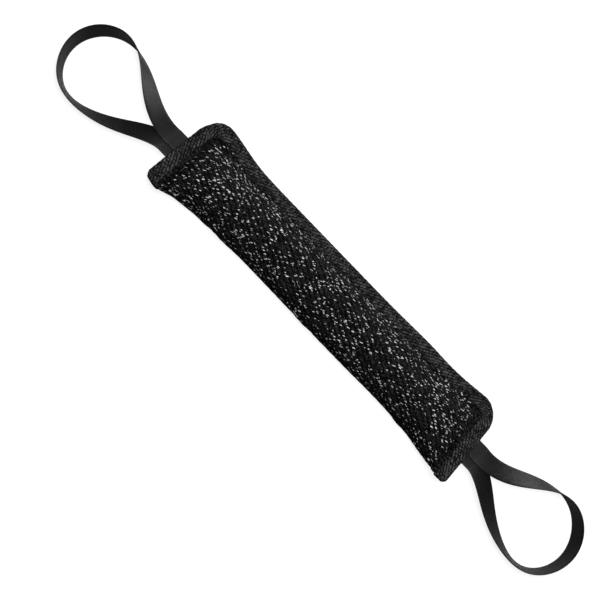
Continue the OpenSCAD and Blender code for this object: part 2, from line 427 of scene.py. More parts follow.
def stuff(rings, held):
    """Fills the cover: cloth under pressure, held along its seams, moved by 4 mm at most."""
    rows, count = rings.shape[:2]
    cloth = np.zeros((rows, count + 1, 2))
    piece = add_rings("cover_blank", rings, cloth)
    group = piece.vertex_groups.new(name="held")
    group.add([int(k) for k in np.flatnonzero(held.ravel())], 1.0, "REPLACE")
    sewing = piece.modifiers.new("stuffing", "CLOTH")
    cloth_settings = sewing.settings
    cloth_settings.quality = 8
    cloth_settings.mass = 0.35
    cloth_settings.tension_stiffness = 35
    cloth_settings.compression_stiffness = 35
    cloth_settings.shear_stiffness = 12
    cloth_settings.bending_stiffness = 1.5
    cloth_settings.use_pressure = True
    cloth_settings.uniform_pressure_force = 4
    cloth_settings.shrink_min = -0.012
    cloth_settings.vertex_group_mass = "held"
    cloth_settings.effector_weights.gravity = 0
    sewing.collision_settings.use_collision = False
    sewing.point_cache.frame_start = 1
    sewing.point_cache.frame_end = stuff_frames
    scene = bpy.context.scene
    for step in range(1, stuff_frames + 1):
        scene.frame_set(step)
    filled = piece.evaluated_get(bpy.context.evaluated_depsgraph_get())
    found = np.zeros(rows * count * 3, np.float32)
    filled.data.vertices.foreach_get("co", found)
    mesh = piece.data
    bpy.data.objects.remove(piece)
    bpy.data.meshes.remove(mesh)
    scene.frame_set(1)
    moved = found.reshape(rows, count, 3) / MM - rings
    far = np.linalg.norm(moved, axis=2, keepdims=True)
    return rings + moved * np.minimum(1, stuff_move / np.maximum(far, 1e-9))


def dent(rings, normals, place, radius, depth):
    """Presses a soft hollow into the cover round a place."""
    away = np.linalg.norm(rings - np.array(place), axis=2)
    return rings - normals * (depth * np.exp(-((away / radius) ** 2)))[:, :, None]


def make_cover():
    """The stuffed cover with its twill ribs, and the smooth rings that the stuffing lies inside."""
    stations = cover_stations()
    blank = np.stack([cover_station(x) for x in stations])
    line = np.arange(cover_lines)
    from_edge = np.minimum(line, cover_lines - 1 - line)
    held = np.zeros(blank.shape[:2], bool)
    held[:, from_edge < flange_steps] = True
    held[np.abs(stations) > stitch_x + 1] = True
    rings = stuff(blank, held)
    rings = refine(rings, fine_rings, False)
    to_fold = np.clip((from_edge - flange_steps) / body_steps, 0, 1) ** 2
    rings[:, :, 1] -= bulge(rings[:, :, 0], fold_bulges) * to_fold
    normals = ring_normals(rings)
    for place, radius, depth in fold_dents:
        rings = dent(rings, normals, place, radius, depth)
    rings[:, :, 2] = np.maximum(rings[:, :, 2], rest_z)

    flat = np.concatenate([np.linspace(0, flange_w, flange_steps + 1)[:-1],
                           flange_w + np.linspace(0, flat_body_w, body_steps + 1)])
    flat = np.concatenate([flat, 2 * flat_w - flat[::-1], [2 * flat_w]])
    fine = refine(rings, fine_rings, False)
    fine = refine(fine.swapaxes(0, 1), fine_lines, True).swapaxes(0, 1)
    u = refine(refine(stations[:, None], fine_rings, False), fine_rings, False)[:, 0]
    v = np.interp(np.arange(fine.shape[1] + 1) / fine_lines, np.arange(cover_lines + 1), flat)
    cloth = cloth_grid(u, v)
    ribs = rib_height(cloth[:, :-1, 0], cloth[:, :-1, 1], cover_rib, cover_rib_lean)
    fine = fine + ring_normals(fine) * (cover_rib_h * (ribs - cover_rib_middle))[:, :, None]
    fine[:, :, 2] = np.maximum(fine[:, :, 2], rib_rest_z)
    return add_rings("padded_cover", round_ears(fine), cloth), rings


def make_stuffing(rings):
    """The fibre filling: the inside of the cover between the end seams."""
    x = rings[:, cover_lines // 4, 0]
    body = rings[np.abs(x) < stitch_x - stuffing_end]
    keep = np.arange(flange_steps + 2, flange_steps + body_steps - 1)
    upper = body[:, keep]
    lower = body[:, cover_lines - 1 - keep]
    core = np.concatenate([upper, lower[:, ::-1]], 1)
    core = core - ring_normals(core) * stuffing_gap
    middle = (core[:, : len(keep)] + core[:, : len(keep) - 1 : -1]) / 2
    half = np.concatenate([middle, middle[:, ::-1]], 1)
    gap = np.abs(core[:, :, 2:] - half[:, :, 2:])
    core = half + (core - half) * np.clip(gap / stuffing_edge, stuffing_thin, 1)
    lumps = lump_h * np.sin(core[:, :, :1] / lump_l) * np.cos(core[:, :, 1:2] / lump_w)
    core = core - ring_normals(core) * (lump_h + lumps)
    core = refine(core, fine_rings, False)
    cloth = cloth_grid(core[:, 0, 0], np.arange(core.shape[1] + 1) * stuffing_line)
    return add_rings("fibre_stuffing", core, cloth)


# Binding tape

# Points along its ends, corners and side, and one ring on the side that shows its section
end_points = 80
corner_points = 42
side_points = 391
side_ring = 200

# Lines along its flat face and round its fold
tape_lines = 17
fold_lines = 13

tape_places = [
    ("end", -1, np.linspace(-half_w, end_top, end_points)[:-1]),
    ("corner", -1, np.linspace(0, 90, corner_points)[:-1]),
    ("side", 0, np.linspace(-half_l + corner_r, half_l - corner_r, side_points)),
    ("corner", 1, np.linspace(90, 0, corner_points)[1:]),
    ("end", 1, np.linspace(end_top, -half_w, end_points)[1:]),
]


def edge_out(x):
    """How far the bound long edge wanders outwards at x, most of all at its left corner."""
    from_end = np.clip((half_l - np.abs(x)) / bound_ease, 0, 1)
    return from_end * (bulge(x, bound_bulges) + bound_out)


def tape_line(inset):
    """The line along the binding at an inset from its folded edge, in plan."""
    points = []
    for kind, side, at in tape_places:
        if kind == "end":
            x = np.full(at.shape, side * half_l) - side * inset
            y = at
        else:
            x = at
            if kind == "corner":
                x = side * (half_l - corner_r + (corner_r - inset) * np.cos(np.radians(at)))
            y = edge_y(x, inset) + edge_out(x) * (1 - bound_hold * inset / binding_w)
        points.append(np.stack(np.broadcast_arrays(x, y), -1))
    return np.concatenate(points)


def tape_lay():
    """Half the height of the layers inside the binding, along it."""
    rise = [tail_rise(at) if kind == "end" else np.zeros(at.shape) for kind, _, at in tape_places]
    return ply_gap * 2 + cloth_t + tail_stack * np.concatenate(rise)


def tape_run():
    """Distance along the seam row of the binding."""
    return run_along(tape_line(seam_row))


def waves(run, parts):
    """Sum of waves along a run, each given by its height, its length and its start."""
    return sum(high * np.sin(run / length + start) for high, length, start in parts)


def tape_top(inset):
    """Height of the tape's outer face above the seam plane: two soft ridges beside the seam row."""
    inner = np.clip((inset - seam_row) / (binding_w - seam_row), 0, 1)
    ridge = inner_ridge * np.sin(np.pi * inner**ridge_lean) ** ridge_round
    outer = np.clip(inset / seam_row, 0, 1)
    ridge = ridge + outer_ridge * np.sin(np.pi * outer) ** ridge_round
    pulled = groove_d * np.exp(-(((inset - seam_row) / groove_w) ** 2))
    rim = rim_d * np.clip((inset - binding_w + rim_w) / rim_w, 0, 1)
    return binding_t + ridge - pulled - rim


def make_binding():
    """The twill tape folded over the sewn edges: outer face, folded edge and inner face."""
    run = tape_run()
    lay = tape_lay()
    wander = waves(run, tape_wander)
    puff = 1 + waves(run, tape_puff)
    near_end = np.minimum(run, run[-1] - run)
    close = 1 - cut_pinch * np.exp(-((near_end / cut_pinch_l) ** 2))
    flat_insets = np.concatenate([[binding_w, binding_w - 0.25],
                                  np.linspace(binding_w - 0.8, tape_fold_r, tape_lines)])
    turns = np.radians(np.linspace(tape_fold_turn, -tape_fold_turn, fold_lines))
    outer = []
    inner = []
    for inset in flat_insets:
        at = inset + wander * np.clip((inset - wander_from) / wander_over, 0, 1)
        high = (lay + tape_top(inset) * (0.5 + 0.5 * puff)) * close
        outer.append((at, high))
        inner.append((np.maximum(at, binding_t), np.minimum(lay, high - tape_least)))
    lower_outer = [(at, -high) for at, high in outer[::-1]]
    lower_inner = [(at, -high) for at, high in inner[::-1]]
    for turn in turns:
        high = (lay + tape_top(tape_fold_r)) * math.sin(turn) * close
        outer.append((np.full(run.shape, tape_fold_r * (1 - math.cos(turn))), high))
        inner.append((np.full(run.shape, binding_t + tape_least), lay * math.sin(turn) * close))
    outer = outer + lower_outer
    inner = inner + lower_inner
    rings = []
    for at, high in outer + inner[::-1]:
        if np.ptp(at) > 0:
            line = np.stack([tape_line(inset)[k] for k, inset in enumerate(at)])
        else:
            line = tape_line(at[0])
        rings.append(np.concatenate([line, (seam_h + high)[:, None]], 1))
    rings = np.stack(rings, 1)
    across = run_along(rings[side_ring, : len(outer)])
    cloth = cloth_grid(run, np.concatenate([across, across[::-1], [0]]))
    ribs = rib_height(cloth[:, :-1, 0], cloth[:, :-1, 1], tape_rib, tape_rib_lean)
    ribs = tape_rib_h * (ribs - tape_rib_middle)
    ribs[:, len(outer):] = 0
    normal = side_normals(rings)
    on_top = len(flat_insets) // 2
    if normal[side_ring, on_top, 2] < 0:
        normal = -normal
    rings = rings + normal * ribs[:, :, None]
    return add_rings("binding_tape", round_ears(rings), cloth)


# Webbing handles

# Points round a loop, along a root and across the webbing
loop_points = 261
root_points = 26
web_points = 25

# Edge of the webbing: how round it is, and the shallow groove beside it
selvedge_round = 14
selvedge_min = 0.04
selvedge_end = 0.985
web_groove = 0.10
web_groove_place = 0.86
web_groove_spread = 0.05


def handle_path(lean, reach):
    """Middle line, thickness direction and width direction of the left handle's webbing."""
    turn = np.linspace(0, 2 * math.pi, loop_points)
    far = (1 - np.cos(turn)) / 2
    widest = math.acos(-pear_pow / (2 + pear_pow))
    pear_k = 2 * math.sin(widest) * math.sin(widest / 2) ** pear_pow
    reached = 1 + pear_skew * np.sin(turn) - pear_blunt * np.sin(2 * turn)
    aside = np.sin(turn) * np.abs(np.sin(turn / 2)) ** pear_pow / pear_k
    aside = aside - pear_square * np.sin(3 * turn) * far
    x = -bend_x - stem_l - (loop_l * reached + reach) * far
    y = loop_w * aside + axis_bow * np.sin(math.pi * far) ** 2
    y = y - axis_sway * np.sin(2 * math.pi * far) - lean * far
    y = y + (leg_spread * np.sign(math.pi - turn) - leg_shift) * (1 - far) ** 2
    run = run_along(np.stack([x, y], -1))
    s = run / run[-1]
    twist = s - 0.5 + twist_lead * np.sin(math.pi * s) + twist_ends * np.sin(2 * math.pi * s)
    twist = twist - twist_uneven * np.sin(3 * math.pi * s) - twist_quarters * np.sin(4 * math.pi * s)
    twist = math.pi * twist
    z = floor_gap + web_w / 2 * np.cos(twist) + web_t / 2 * np.abs(np.sin(twist))
    z = z + (seam_h - floor_gap - web_t / 2) * np.abs(np.cos(math.pi * s)) ** droop_pow
    z = z + (leg_gap + web_t) / 2 * np.cos(math.pi * s) ** 3
    loop = np.stack([x, y, z], -1)
    root = np.linspace(-half_l + tail_l, x[0], root_points)[:-1]
    upper = np.stack(np.broadcast_arrays(root, loop[0, 1], loop[0, 2]), -1)
    lower = np.stack(np.broadcast_arrays(root[::-1], loop[-1, 1], loop[-1, 2]), -1)
    path = np.concatenate([upper, loop, lower])
    angle = np.concatenate([np.full(len(root), twist[0]), twist, np.full(len(root), twist[-1])])
    way = unit(np.gradient(path, axis=0))
    way[: len(root)] = (-1, 0, 0)
    way[-len(root):] = (1, 0, 0)
    level = unit(np.stack([-way[:, 1], way[:, 0], 0 * angle], -1))
    lean_in = level * np.cos(angle)[:, None] + np.array([0, 0, 1]) * np.sin(angle)[:, None]
    inner = unit(lean_in - way * (lean_in * way).sum(1, keepdims=True))
    return path, inner, np.cross(way, inner)


def make_handle(name, side, lean, reach):
    """One strip of webbing: a tail in the end seam, round the loop and back to the other tail."""
    path, inner, wide = handle_path(lean, reach)
    edge = math.pi / 2 * selvedge_end
    a = np.sin(np.linspace(-1, 1, web_points) * edge) / math.sin(edge)
    thick = web_t / 2 * np.maximum(1 - np.abs(a) ** selvedge_round, selvedge_min) ** 0.5
    off_groove = (np.abs(a) - web_groove_place) / web_groove_spread
    thick = thick * (1 - web_groove * np.exp(-(off_groove**2)))
    across = np.concatenate([a, a[::-1]]) * web_w / 2
    lift = np.concatenate([thick, -thick[::-1]])
    rings = path[:, None] + wide[:, None] * across[:, None] + inner[:, None] * lift[:, None]
    if side > 0:
        rings = rings * np.array([-1, 1, 1])
    face = a * web_w / 2 + web_w / 2
    v = np.concatenate([face, web_w + web_t + face, [2 * (web_w + web_t)]])
    return add_rings(name, rings, cloth_grid(run_along(path), v))


# Stitches


def add_stitches(name, lines):
    """Short lengths of thread, each a small tube that dips into the tape at both ends."""
    sides = stitch_sides
    turn = np.arange(sides) * 2 * math.pi / sides
    points = []
    faces = []
    for line in lines:
        start = sum(len(p) for p in points)
        way = unit(np.gradient(line, axis=0))
        side = unit(np.cross(way, np.array([0, 0, 1.0])))
        over = np.cross(side, way)
        shares = np.linspace(0, 1, len(line))
        radius = thread_d / 2 * np.sqrt(np.maximum(1 - (2 * shares - 1) ** stitch_taper, stitch_tip))
        for k, centre in enumerate(line):
            ring = side[k] * np.cos(turn)[:, None] + over[k] * np.sin(turn)[:, None]
            points.append(centre + radius[k] * ring)
        for k in range(len(line) - 1):
            for n in range(sides):
                m = (n + 1) % sides
                a = start + k * sides
                faces.append((a + n, a + m, a + sides + m, a + sides + n))
        faces.append(tuple(start + n for n in range(sides)))
        faces.append(tuple(start + (len(line) - 1) * sides + n for n in range(sides)))
    mesh = bpy.data.meshes.new(name)
    mesh.from_pydata((np.concatenate(points) * MM).tolist(), [], faces)
    return add_mesh(name, mesh)


def stitch_rise():
    """Height of a stitch above the tape along its length: a bow with both ends in the tape."""
    bow = stitch_bow * np.linspace(-1, 1, stitch_points) ** 4
    return thread_d / 2 - stitch_sink - bow


def seam_stitches(side):
    """The row of stitches that holds the binding, above (1) or below (-1)."""
    run = tape_run()
    row = tape_line(seam_row)
    high = tape_lay() + tape_top(seam_row) + stitch_lift
    lines = []
    for k in range(int(run[-1] // stitch_pitch)):
        d = k * stitch_pitch + stitch_gap / 2 + np.linspace(0, stitch_l, stitch_points)
        x = np.interp(d, run, row[:, 0])
        y = np.interp(d, run, row[:, 1])
        z = seam_h + side * (np.interp(d, run, high) + stitch_rise())
        lines.append(round_ears(np.stack([x, y, z], -1)))
    return lines


def tack_stitches(end):
    """Two short rows of stitches across the webbing's tails, above and below."""
    lines = []
    count = int(web_w // stitch_pitch)
    for side in (1, -1):
        for row in (1, 2):
            inset = row * seam_row / 3
            turn = math.acos(max(0, 1 - inset / tape_fold_r)) if inset < tape_fold_r else math.pi / 2
            for k in range(count):
                y = (k - (count - 1) / 2) * stitch_pitch - leg_shift
                y = y + np.linspace(-stitch_l / 2, stitch_l / 2, stitch_points)
                lay = ply_gap * 2 + cloth_t + tail_stack * tail_rise(y)
                high = (lay + tape_top(max(inset, tape_fold_r))) * math.sin(turn)
                x = np.full(y.shape, end * (half_l - inset))
                lines.append(np.stack([x, y, seam_h + side * (high + stitch_rise())], -1))
    return lines


# Shader groups and materials

# Colours of the yarns, and of the lint on them. The cover's, tape's and webbing's dark and light ends
# span painted shade in the hollows of their weave as well as their own uneven tone
cover_dark = (0.0002, 0.0002, 0.0003, 1)
cover_light = (0.030, 0.030, 0.0312, 1)
white_yarn = (0.97, 0.97, 0.96, 1)
tape_dark = (0.001, 0.001, 0.0011, 1)
tape_light = (0.098, 0.098, 0.101, 1)
web_dark = (0.001, 0.001, 0.0011, 1)
web_light = (0.007, 0.007, 0.0073, 1)
thread_dark = (0.004, 0.004, 0.0045, 1)
thread_light = (0.016, 0.016, 0.017, 1)
fibre_dark = (0.62, 0.60, 0.56, 1)
fibre_light = (0.86, 0.85, 0.82, 1)
fibre_strand = (0.70, 0.68, 0.64, 1)
lint_grey = (0.12, 0.12, 0.12, 1)
lint_share = 0.08

# Widths of the cover's and the tape's strands and of the webbing's threads, in millimetres
cover_strand = 1.3
tape_strand = 1.3
web_thread = 1.1


class Nodes:
    """A node tree with short ways to add and join its nodes."""

    def __init__(self, tree):
        self.tree = tree

    def add(self, kind, **values):
        """A new node with its own values set."""
        node = self.tree.nodes.new(kind)
        for key, value in values.items():
            setattr(node, key, value)
        return node

    def put(self, value, socket):
        """Joins an output to an input, or sets the input to a plain value."""
        if isinstance(value, bpy.types.NodeSocket):
            self.tree.links.new(value, socket)
        else:
            socket.default_value = value

    def math(self, operation, a, b=None, c=None):
        """One step of arithmetic."""
        node = self.add("ShaderNodeMath", operation=operation)
        for value, socket in zip((a, b, c), node.inputs):
            if value is not None:
                self.put(value, socket)
        return node.outputs[0]

    def between(self, value, low, high, out_low=0.0, out_high=1.0):
        """A smooth step: out_low at low, out_high at high."""
        node = self.add("ShaderNodeMapRange", interpolation_type="SMOOTHSTEP")
        for given, name in ((value, "Value"), (low, "From Min"), (high, "From Max"),
                            (out_low, "To Min"), (out_high, "To Max")):
            self.put(given, node.inputs[name])
        return node.outputs["Result"]

    def blend(self, share, a, b):
        """Two colours mixed."""
        node = self.add("ShaderNodeMix", data_type="RGBA")
        self.put(share, node.inputs[0])
        self.put(a, node.inputs[6])
        self.put(b, node.inputs[7])
        return node.outputs[2]

    def noise(self, vector, scale, detail=2.0):
        """Soft noise from 0 to 1."""
        node = self.add("ShaderNodeTexNoise")
        self.put(vector, node.inputs["Vector"])
        self.put(scale, node.inputs["Scale"])
        node.inputs["Detail"].default_value = detail
        return node.outputs["Fac"]

    def dice(self, a, b):
        """Random numbers, others for each pair of whole numbers."""
        pair = self.add("ShaderNodeCombineXYZ")
        self.put(a, pair.inputs[0])
        self.put(b, pair.inputs[1])
        node = self.add("ShaderNodeTexWhiteNoise", noise_dimensions="2D")
        self.put(pair.outputs[0], node.inputs["Vector"])
        return node

    def group(self, tree, **values):
        """A shared shader group with this material's own values."""
        node = self.add("ShaderNodeGroup")
        node.node_tree = tree
        for key, value in values.items():
            self.put(value, node.inputs[key.replace("_", " ")])
        return node


def new_group(name, vector, values, outputs):
    """An empty shader group: one vector and named numbers in, numbers out, and its two end nodes."""
    tree = bpy.data.node_groups.new(name, "ShaderNodeTree")
    tree.interface.new_socket(name=vector, in_out="INPUT", socket_type="NodeSocketVector")
    for label, value in values.items():
        socket = tree.interface.new_socket(name=label, in_out="INPUT", socket_type="NodeSocketFloat")
        socket.default_value = value
    for label in outputs:
        tree.interface.new_socket(name=label, in_out="OUTPUT", socket_type="NodeSocketFloat")
    nodes = Nodes(tree)
    return tree, nodes, nodes.add("NodeGroupInput"), nodes.add("NodeGroupOutput")


def twill_group():
    """Ribs made of slanted strands: height, place across the rib and the strand, numbers per strand."""
    tree, n, given, out = new_group(
        "twill_weave", "Cloth",
        {"Rib Width": 4.6, "Rib Lean": 0.5, "Strand Width": 1.7, "Strand Lean": 0.8, "Waver": 0.5},
        ("Height", "Across Rib", "Across Strand", "First Number", "Second Number", "Third Number"))
    split = n.add("ShaderNodeSeparateXYZ")
    n.put(given.outputs["Cloth"], split.inputs[0])
    sway = n.add("ShaderNodeTexNoise")
    n.put(given.outputs["Cloth"], sway.inputs["Vector"])
    sway.inputs["Scale"].default_value = 240.0
    sway.inputs["Detail"].default_value = 2.0
    shifts = n.add("ShaderNodeSeparateColor")
    n.put(sway.outputs["Color"], shifts.inputs[0])
    moved = []
    for k in (0, 1):
        shift = n.math("MULTIPLY", n.math("SUBTRACT", shifts.outputs[k], 0.5), given.outputs["Waver"])
        moved.append(n.math("MULTIPLY_ADD", split.outputs[k], 1 / MM, shift))
    u, v = moved
    cos = n.math("COSINE", given.outputs["Rib Lean"])
    sin = n.math("SINE", given.outputs["Rib Lean"])
    across = n.math("SUBTRACT", n.math("MULTIPLY", v, cos), n.math("MULTIPLY", u, sin))
    down = n.math("ADD", n.math("MULTIPLY", u, cos), n.math("MULTIPLY", v, sin))
    rib = n.math("DIVIDE", across, given.outputs["Rib Width"])
    rib_number = n.math("FLOOR", rib)
    rib_part = n.math("SUBTRACT", n.math("FRACT", rib), 0.5)
    start = n.add("ShaderNodeTexWhiteNoise", noise_dimensions="1D")
    n.put(rib_number, start.inputs["W"])
    slant = n.math("MULTIPLY", across, given.outputs["Strand Lean"])
    strand = n.math("DIVIDE", n.math("ADD", down, slant), given.outputs["Strand Width"])
    strand = n.math("ADD", strand, start.outputs["Value"])
    strand_number = n.math("FLOOR", strand)
    strand_part = n.math("SUBTRACT", n.math("FRACT", strand), 0.5)
    numbers = n.add("ShaderNodeSeparateColor")
    n.put(n.dice(rib_number, strand_number).outputs["Color"], numbers.inputs[0])
    off_ridge = n.math("MULTIPLY", n.math("ABSOLUTE", rib_part), 2.0)
    ridge = n.math("SUBTRACT", 1.0, n.math("POWER", off_ridge, rib_round))
    round_strand = n.math("COSINE", n.math("MULTIPLY", strand_part, math.pi))
    height = n.math("MULTIPLY", ridge, n.math("MULTIPLY_ADD", round_strand, 0.8, 0.2))
    n.put(height, out.inputs["Height"])
    n.put(rib_part, out.inputs["Across Rib"])
    n.put(strand_part, out.inputs["Across Strand"])
    for k, label in enumerate(("First Number", "Second Number", "Third Number")):
        n.put(numbers.outputs[k], out.inputs[label])
    return tree


def wear_group():
    """Soft uneven fading and lint, for all the cloths."""
    tree, n, given, out = new_group("cloth_wear", "Place", {"Patch Size": 30.0}, ("Fade", "Lint"))
    patch = n.noise(given.outputs["Place"], given.outputs["Patch Size"], 3.0)
    n.put(n.between(patch, 0.3, 0.7), out.inputs["Fade"])
    lint = n.noise(given.outputs["Place"], 900.0)
    n.put(n.between(lint, 0.58, 0.8), out.inputs["Lint"])
    return tree


def plain_weave_group():
    """A fine plain weave: its height, and a random number for each crossing of its threads."""
    tree, n, given, out = new_group(
        "plain_weave", "Cloth", {"Thread Width": 0.8}, ("Height", "Thread Number"))
    split = n.add("ShaderNodeSeparateXYZ")
    n.put(given.outputs["Cloth"], split.inputs[0])
    u = n.math("DIVIDE", n.math("MULTIPLY", split.outputs[0], 1 / MM), given.outputs["Thread Width"])
    v = n.math("DIVIDE", n.math("MULTIPLY", split.outputs[1], 1 / MM), given.outputs["Thread Width"])
    wave_u = n.math("SINE", n.math("MULTIPLY", u, math.pi))
    wave_v = n.math("SINE", n.math("MULTIPLY", v, math.pi))
    over = n.math("MULTIPLY", wave_u, wave_v)
    n.put(n.math("MULTIPLY_ADD", over, 0.5, 0.5), out.inputs["Height"])
    number = n.dice(n.math("FLOOR", u), n.math("FLOOR", v)).outputs["Value"]
    n.put(number, out.inputs["Thread Number"])
    return tree


def new_material(name, roughness, shine):
    """A cloth material: its nodes, its shader, and where it is on its cloth and in space."""
    material = bpy.data.materials.new(name)
    material.use_nodes = True
    material.node_tree.nodes.clear()
    n = Nodes(material.node_tree)
    shader = n.add("ShaderNodeBsdfPrincipled")
    shader.inputs["Roughness"].default_value = roughness
    shader.inputs["Specular IOR Level"].default_value = shine
    end = n.add("ShaderNodeOutputMaterial")
    n.put(shader.outputs[0], end.inputs["Surface"])
    cloth = n.add("ShaderNodeUVMap", uv_map="cloth").outputs[0]
    place = n.add("ShaderNodeTexCoord").outputs["Object"]
    return material, n, shader, cloth, place


def add_bump(n, shader, height, distance, strength):
    """Fine relief in the normal of a material."""
    bump = n.add("ShaderNodeBump")
    bump.inputs["Strength"].default_value = strength
    bump.inputs["Distance"].default_value = distance
    n.put(height, bump.inputs["Height"])
    n.put(bump.outputs[0], shader.inputs["Normal"])


def with_lint(n, worn, colour):
    """A cloth's colour with a little grey lint on it."""
    return n.blend(n.math("MULTIPLY", worn.outputs["Lint"], lint_share), colour, lint_grey)


def cover_material(twill, wear):
    """Coarse black twill with white strands that show as flecks on its ribs."""
    material, n, shader, cloth, place = new_material("black_flecked_twill", 0.85, 0.04)
    weave = n.group(twill, Cloth=cloth, Rib_Width=cover_rib, Rib_Lean=cover_rib_lean,
                    Strand_Width=cover_strand, Strand_Lean=0.84, Waver=2.4)
    worn = n.group(wear, Place=place, Patch_Size=130.0)
    first, second, third = (weave.outputs[k + " Number"] for k in ("First", "Second", "Third"))

    # White strands are chosen at random, more in some patches and none by the end seams and corners
    split = n.add("ShaderNodeSeparateXYZ")
    n.put(cloth, split.inputs[0])
    from_middle = n.math("ABSOLUTE", split.outputs[0])
    at_seam = n.between(from_middle, (stitch_x - 4) * MM, (stitch_x - 1) * MM, 0.0, 0.5)
    to_corner = n.math("SUBTRACT", from_middle, split.outputs[1])
    corner = stitch_x - flange_w
    at_corner = n.between(to_corner, (corner - 13) * MM, (corner - 5) * MM, 0.0, 0.5)
    rare = n.between(worn.outputs["Fade"], 0.0, 1.0, 0.87, 0.59)
    rare = n.math("ADD", rare, n.math("ADD", at_seam, at_corner))
    chosen = n.math("GREATER_THAN", first, rare)

    # Each shows only for a short way over its rib, of its own place, length, width and brightness
    fourth = n.math("FRACT", n.math("MULTIPLY", first, 37.0))
    off_middle = n.math("MULTIPLY_ADD", n.math("SUBTRACT", fourth, 0.5), 0.6, weave.outputs["Across Rib"])
    reach = n.math("MULTIPLY_ADD", n.math("POWER", second, 2.0), 0.18, 0.07)
    width = n.math("MULTIPLY_ADD", third, 0.16, 0.16)
    longwise = n.between(n.math("SUBTRACT", n.math("ABSOLUTE", off_middle), reach), -0.05, 0.05, 1.0, 0.0)
    off_strand = n.math("SUBTRACT", n.math("ABSOLUTE", weave.outputs["Across Strand"]), width)
    sidewise = n.between(off_strand, -0.04, 0.04, 1.0, 0.0)
    fleck = n.math("MULTIPLY", chosen, n.math("MULTIPLY", longwise, sidewise))
    bright = n.math("MULTIPLY_ADD", n.math("POWER", third, 0.3), 0.7, 0.3)
    fleck = n.math("MULTIPLY", fleck, bright)

    # The black yarn's colour holds painted shade, darker in the valleys between ribs and strands and
    # lighter on their tops, and it is also uneven from strand to strand and grainy
    grain = n.noise(cloth, 750.0, 1.0)
    shaded_tone = n.math("MULTIPLY_ADD", weave.outputs["Height"], 0.8, 0.2)
    shaded_tone = n.math("MULTIPLY", shaded_tone, n.math("MULTIPLY_ADD", third, 0.9, 0.25))
    shaded_tone = n.math("MULTIPLY", shaded_tone, n.between(grain, 0.42, 0.60, 0.1, 2.2))
    shaded_tone = n.math("POWER", shaded_tone, 2.2)
    dark = n.blend(n.math("MINIMUM", shaded_tone, 2.0), cover_dark, cover_light)
    colour = n.blend(fleck, dark, white_yarn)
    n.put(with_lint(n, worn, colour), shader.inputs["Base Color"])
    n.put(n.between(weave.outputs["Height"], 0.0, 1.0, 0.95, 0.72), shader.inputs["Roughness"])
    raised = n.math("ADD", weave.outputs["Height"], n.math("MULTIPLY", fleck, 0.3))
    add_bump(n, shader, raised, 0.0005, 0.8)
    return material


def tape_material(twill, wear):
    """Plain black twill tape."""
    material, n, shader, cloth, place = new_material("black_twill_tape", 0.75, 0.06)
    weave = n.group(twill, Cloth=cloth, Rib_Width=tape_rib, Rib_Lean=tape_rib_lean,
                    Strand_Width=tape_strand, Strand_Lean=-0.6, Waver=1.4)
    worn = n.group(wear, Place=place, Patch_Size=90.0)
    first = weave.outputs["First Number"]
    # Painted shade: the tape's colour is darker in the valleys of its ribs and strands; it is also uneven
    # from strand to strand, grainy and faded in patches
    grain = n.noise(cloth, 900.0, 2.0)
    shaded_tone = n.math("MULTIPLY", weave.outputs["Height"], n.math("MULTIPLY_ADD", first, 1.1, 0.25))
    shaded_tone = n.math("MULTIPLY", shaded_tone, n.between(grain, 0.3, 0.7, 0.4, 1.6))
    shaded_tone = n.math("MULTIPLY", shaded_tone, n.between(worn.outputs["Fade"], 0.0, 1.0, 0.7, 1.25))
    shaded_tone = n.math("POWER", shaded_tone, 2.1)
    colour = n.blend(n.math("MINIMUM", shaded_tone, 2.0), tape_dark, tape_light)
    n.put(with_lint(n, worn, colour), shader.inputs["Base Color"])
    n.put(n.between(weave.outputs["Height"], 0.0, 1.0, 0.92, 0.62), shader.inputs["Roughness"])
    add_bump(n, shader, weave.outputs["Height"], 0.0004, 0.8)
    return material


def webbing_material(plain, wear):
    """Fine dark grey woven webbing with a broad soft shine."""
    material, n, shader, cloth, place = new_material("dark_grey_webbing", 0.42, 0.28)
    shader.inputs["Sheen Weight"].default_value = 0.16
    shader.inputs["Sheen Roughness"].default_value = 0.4
    weave = n.group(plain, Cloth=cloth, Thread_Width=web_thread)
    worn = n.group(wear, Place=place, Patch_Size=60.0)
    # Painted shade: the webbing's colour is darker in the low places of its weave; it is also uneven from
    # thread to thread and in patches
    uneven = n.math("MULTIPLY_ADD", weave.outputs["Thread Number"], 0.8, 0.6)
    shaded_tone = n.math("MULTIPLY", weave.outputs["Height"], uneven)
    shaded_tone = n.math("MULTIPLY", shaded_tone, n.between(worn.outputs["Fade"], 0.0, 1.0, 0.85, 1.15))
    colour = n.blend(n.math("MINIMUM", shaded_tone, 1.3), web_dark, web_light)
    n.put(colour, shader.inputs["Base Color"])
    n.put(n.between(weave.outputs["Height"], 0.0, 1.0, 0.48, 0.38), shader.inputs["Roughness"])
    add_bump(n, shader, weave.outputs["Height"], 0.00025, 0.7)
    return material


def thread_material():
    """Black bonded thread."""
    material, n, shader, _, place = new_material("black_thread", 0.5, 0.3)
    fuzz = n.noise(place, 2500.0, 2.0)
    n.put(n.blend(fuzz, thread_dark, thread_light), shader.inputs["Base Color"])
    n.put(n.between(fuzz, 0.3, 0.7, 0.65, 0.45), shader.inputs["Roughness"])
    add_bump(n, shader, fuzz, 0.0001, 0.6)
    return material


